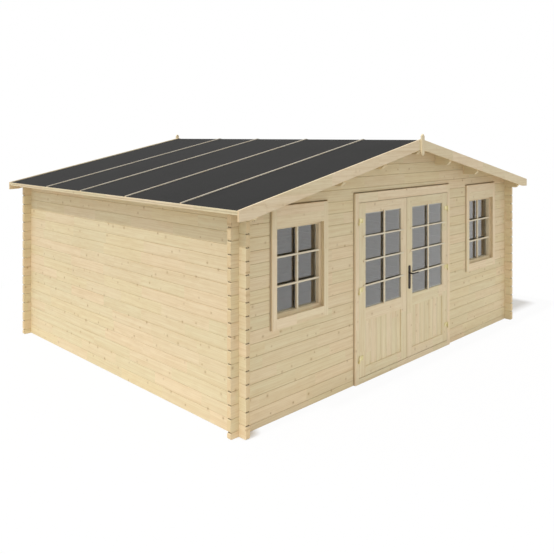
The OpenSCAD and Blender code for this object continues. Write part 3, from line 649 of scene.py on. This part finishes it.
def fastened(name, spots, radius, height):
    """Heads of one size at each spot, a place and the direction that the head faces."""
    pattern = fastener_head(name, radius, height)
    heads = []
    for spot, outward in spots:
        head = pattern.copy()
        head.data = pattern.data.copy()
        head.location = spot
        head.rotation_euler = Vector((0, 0, 1)).rotation_difference(Vector(outward)).to_euler()
        bpy.context.scene.collection.objects.link(head)
        heads.append(head)
    bpy.data.objects.remove(pattern)
    return joined(heads, name)


def spread(first, last, count):
    """Evenly spaced places from the first to the last."""
    return [first + (last - first) * i / (count - 1) for i in range(count)]


# Finishes of the record's slots
finishes = {
    "pine_logs_side": planed_pine("planed_pine_side_logs", "Y", "Z", LOG_COURSE, joints=0.12,
                                  heart=(0.0, side_middle)),
    "pine_logs_cross": planed_pine("planed_pine_cross_logs", "X", "Z", LOG_COURSE, start=LOG_COURSE / 2,
                                   joints=0.22, heart=((back_middle + front_middle) / 2,
                                                       (back_middle - front_middle) / 2)),
    "pine_roof_boards": planed_pine("planed_pine_roof_boards", "X", "Y", ROOF_BOARD_WIDTH, joints=0.5),
    "pine_purlins": planed_pine("planed_pine_purlins", "Y", "X", PURLIN_TINT),
    "pine_eave_strips": planed_pine("planed_pine_eave_strips", "Y", "X", EAVE_STRIP_TINT, tints=WARM_TINTS,
                                    knots=0.4),
    "pine_bargeboards": planed_pine("planed_pine_bargeboards", "X", "Z", BARGEBOARD_TINT, tints=PALE_TINTS,
                                    knots=0.4),
    "pine_battens": planed_pine("sawn_pine_battens", "X", "Y", BATTEN_TINT, tints=BATTEN_TINTS, knots=0.3),
    "pine_finials": planed_pine("planed_pine_finials", "Z", "X", FINIAL_TINT, tints=PALE_TINTS),
    "pine_casings": planed_pine("planed_pine_casings", "Z", "X", CASING_TINT, tints=PALE_TINTS, knots=0.6,
                                rails=(door_head, window_head)),
    "pine_frames": planed_pine("planed_pine_frames", "Z", "X", CASING_TINT, tints=WARM_TINTS,
                               rails=(door_head, window_head)),
    "pine_sashes": planed_pine("planed_pine_sashes", "Z", "X", SASH_TINT, tints=PALE_TINTS, knots=0.5,
                               rails=(sash_rail,)),
    "pine_doors": planed_pine("planed_pine_leaves", "Z", "X", LEAF_TINT, tints=WARM_TINTS, knots=0.7,
                              rails=(leaf_rail,)),
    "pine_panels": planed_pine("planed_pine_panels", "Z", "X", PANEL_BOARD_WIDTH, tints=WARM_TINTS,
                               joints=0.25, knots=0.5),
    "pine_floor": planed_pine("planed_pine_floor", "Y", "X", FLOOR_BOARD_WIDTH, joints=0.5),
    "roof_felt": mineral_felt("mineral_felt"),
    "window_glass": float_glass("float_glass_windows"),
    "door_glass": float_glass("float_glass_door"),
    "hinge_brass": plated_metal("brass_plated_steel", bright="#E9DFB4", dull="#D3C48A", roughness=0.28,
                                metallic=1.0, patch=30 * MM),
    "handle_metal": plated_metal("brown_lacquered_metal", bright="#2E221B", dull="#1E1612", roughness=0.42,
                                 metallic=0.3, patch=40 * MM),
}
bar_pine = planed_pine("planed_pine_bars", "X", "Z", BAR_TINT, tints=BAR_TINTS, knots=0.15)
sill_pine = planed_pine("planed_pine_sill", "X", "Z", SILL_TINT, tints=WARM_TINTS)

for subpart in frame["record"]["subparts"]:
    cad_node = frame["nodes"][subpart["node"]]
    cad_node.data.materials.clear()
    cad_node.data.materials.append(finishes[subpart["material_slot"]])
frame["nodes"]["door_sill"].data.materials[0] = sill_pine

# Bars and beads of the windows and the door leaves
for side in SIDES:
    window_glass, sash = f"window_{side}_glass", f"window_{side}_sash"
    leaf_glass, leaf = f"{side}_leaf_glass", f"{side}_leaf_frame"
    window_bars = glazing_bars(f"window_{side}_bars", window_glass, sash, WINDOW_UPRIGHT, WINDOW_CROSS_BARS,
                               WINDOW_BAR_PITCH, WINDOW_CROSS, WINDOW_BAR_DROP)
    dressed(window_bars, "cabin", bar_pine)
    dressed(glazing_beads(f"window_{side}_beads", window_glass, sash), "cabin", bar_pine)
    door_bars = glazing_bars(f"{side}_door_bars", leaf_glass, leaf, DOOR_UPRIGHT, DOOR_CROSS_BARS,
                             DOOR_BAR_PITCH, DOOR_CROSS)
    dressed(door_bars, f"{side}_door", bar_pine)
    dressed(glazing_beads(f"{side}_door_beads", leaf_glass, leaf), f"{side}_door", bar_pine)

# Boards of the roof and the floor
for side, sign in SIDES.items():
    planks = roof_planks(f"roof_planks_{side}", f"roof_boards_{side}", f"roof_felt_{side}", sign)
    dressed(planks, "cabin", finishes["pine_roof_boards"])
    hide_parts(f"roof_boards_{side}")
planks = floor_planks("floor_planks", "floor_boards")
dressed(planks, "cabin", finishes["pine_floor"])
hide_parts("floor_boards")

# Nails through the casings of the door and the windows
nails = []
door_low, door_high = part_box("door_casing")
casing_face = door_low.y
upright_top = door_high.z - DOOR_HEAD_BOARD
for x in (door_low.x + DOOR_SIDE_BOARD / 2, door_high.x - DOOR_SIDE_BOARD / 2):
    for z in spread(door_low.z + UPRIGHT_MARGIN, upright_top - UPRIGHT_MARGIN, UPRIGHT_NAILS):
        nails.append(((x, casing_face, z), FRONT))
for x in spread(door_low.x + HEAD_MARGIN, door_high.x - HEAD_MARGIN, HEAD_NAILS):
    nails.append(((x, casing_face, door_high.z - DOOR_HEAD_BOARD / 2), FRONT))
for side in SIDES:
    low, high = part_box(f"window_{side}_casing")
    middle = (low.x + high.x) / 2
    for x in (low.x + WINDOW_SIDE_BOARD / 2, high.x - WINDOW_SIDE_BOARD / 2):
        for z in spread(low.z + UPRIGHT_MARGIN, high.z - UPRIGHT_MARGIN, UPRIGHT_NAILS):
            nails.append(((x, casing_face, z), FRONT))
    for x in (middle - WINDOW_NAIL_SPREAD, middle + WINDOW_NAIL_SPREAD):
        for z in (low.z + WINDOW_BASE_BOARD / 2, high.z - WINDOW_HEAD_BOARD / 2):
            nails.append(((x, casing_face, z), FRONT))

# Nails through the bargeboards and the finials, over the purlins and the top logs
roof_slope = math.tan(ROOF_PITCH)
for gable, outward, corner in (("front", FRONT, 0), ("back", BACK, 1)):
    board_box, finial_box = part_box(f"bargeboards_{gable}"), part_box(f"finial_{gable}")
    for x in (RIDGE_NAIL, PURLIN_INNER, PURLIN_OUTER, side_middle):
        for drop in BARGEBOARD_ROWS:
            z = board_box[1].z - x * roof_slope - drop
            nails += [((sign * x, board_box[corner].y, z), outward) for sign in SIDES.values()]
    finial_middle = (finial_box[0].z + finial_box[1].z) / 2
    for z in (finial_middle - FINIAL_SPREAD, finial_middle + FINIAL_SPREAD):
        nails.append(((0, finial_box[corner].y, z), outward))

# Nails through the felt battens and the eave strips
for side, sign in SIDES.items():
    battens = frame["nodes"][f"felt_battens_{side}"]
    batten_low, batten_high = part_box(f"felt_battens_{side}")
    batten_foot = max(-batten_low.x, batten_high.x)
    batten_edges = sorted({round((battens.matrix_world @ corner.co).y, BATTEN_EDGE_DIGITS)
                           for corner in battens.data.vertices})
    slope_up = (sign * math.sin(ROOF_PITCH), 0, math.cos(ROOF_PITCH))
    for near_edge, far_edge in zip(batten_edges[::2], batten_edges[1::2]):
        for x in spread(BATTEN_MARGIN, batten_foot - BATTEN_MARGIN, BATTEN_NAILS):
            spot = (sign * x, (near_edge + far_edge) / 2, batten_high.z - x * roof_slope)
            nails.append((spot, slope_up))
    strip_low, strip_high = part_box(f"eave_strip_{side}")
    strip_face = strip_low.x + EAVE_BEAD_STEP if sign < 0 else strip_high.x - EAVE_BEAD_STEP
    for y in spread(strip_low.y + EAVE_MARGIN, strip_high.y - EAVE_MARGIN, EAVE_NAILS):
        nails.append(((strip_face, y, strip_low.z + EAVE_NAIL_RISE), (sign, 0, 0)))
dressed(fastened("nails", nails, NAIL_RADIUS, NAIL_HEIGHT), "cabin", finishes["hinge_brass"])

# Screws of the hinges and the handle plates
for side, sign in SIDES.items():
    hinge_axis = next(joint["pos_m"][0] for joint in frame["record"]["behaviour"]["joints"]
                      if joint["child"] == f"{side}_door")
    screws = [((hinge_axis - sign * inwards, casing_face - HINGE_PLATE_FACE, split + rise), FRONT)
              for split in HINGE_SPLITS for inwards, rise in HINGE_SCREWS]
    dressed(fastened(f"{side}_hinge_screws", screws, SCREW_RADIUS, SCREW_HEIGHT), f"{side}_door",
            finishes["hinge_brass"])
plate_low, plate_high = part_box("handle_plates")
plate_middle = (plate_low.x + plate_high.x) / 2
screws = [((plate_middle, y, z), outward) for y, outward in ((plate_low.y, FRONT), (plate_high.y, BACK))
          for z in (plate_low.z + HANDLE_SCREW_MARGIN, plate_high.z - HANDLE_SCREW_MARGIN)]
dressed(fastened("handle_screws", screws, SCREW_RADIUS, SCREW_HEIGHT), "right_door",
        finishes["handle_metal"])

# White ground
bpy.ops.object.select_all(action="DESELECT")
bpy.ops.mesh.primitive_plane_add(size=GROUND_SIZE, location=(0, 0, -GROUND_DROP))
ground = bpy.context.object
ground.name = "ground"
ground.data.materials.append(matt_white("white_ground"))

# White sky, dimmer from below, that shows as white
scene = bpy.context.scene
scene.view_settings.view_transform = "Standard"
scene.world = bpy.data.worlds.new("white_sky")
scene.world.use_nodes = True
sky = scene.world.node_tree
sky_seen = looked_at(sky)
heading = put(sky, "SeparateXYZ", {"Vector": put(sky, "TexCoord").outputs["Generated"]}).outputs["Z"]
above = put(sky, "Math", {0: heading, 1: 0.0}, operation="GREATER_THAN")
lighting = put(sky, "Mix", {"Factor": above, "A": LOW_SKY_LEVEL, "B": SKY_LEVEL})
level = put(sky, "Mix", {"Factor": sky_seen, "A": lighting, "B": 1.0})
sky.nodes["Background"].inputs["Color"].default_value = linear(WHITE)
sky.links.new(level.outputs[0], sky.nodes["Background"].inputs["Strength"])

# High sun from the left
sun_light = bpy.data.lights.new("sun", "SUN")
sun_light.energy = math.pi * SUN_LEVEL
sun_light.angle = math.radians(SUN_ANGLE)
sun = bpy.data.objects.new("sun", sun_light)
sun.rotation_euler = (0, math.radians(SUN_ELEVATION - 90), 0)
scene.collection.objects.link(sun)

# Camera
camera_data = bpy.data.cameras.new("camera")
camera_data.lens = CAMERA_LENS
camera_data.shift_y = CAMERA_SHIFT
camera_data.clip_end = CAMERA_REACH
camera = bpy.data.objects.new("camera", camera_data)
camera.location = CAMERA_PLACE
camera.rotation_euler = (math.pi / 2, 0, math.radians(CAMERA_TURN))
scene.collection.objects.link(camera)
scene.camera = camera
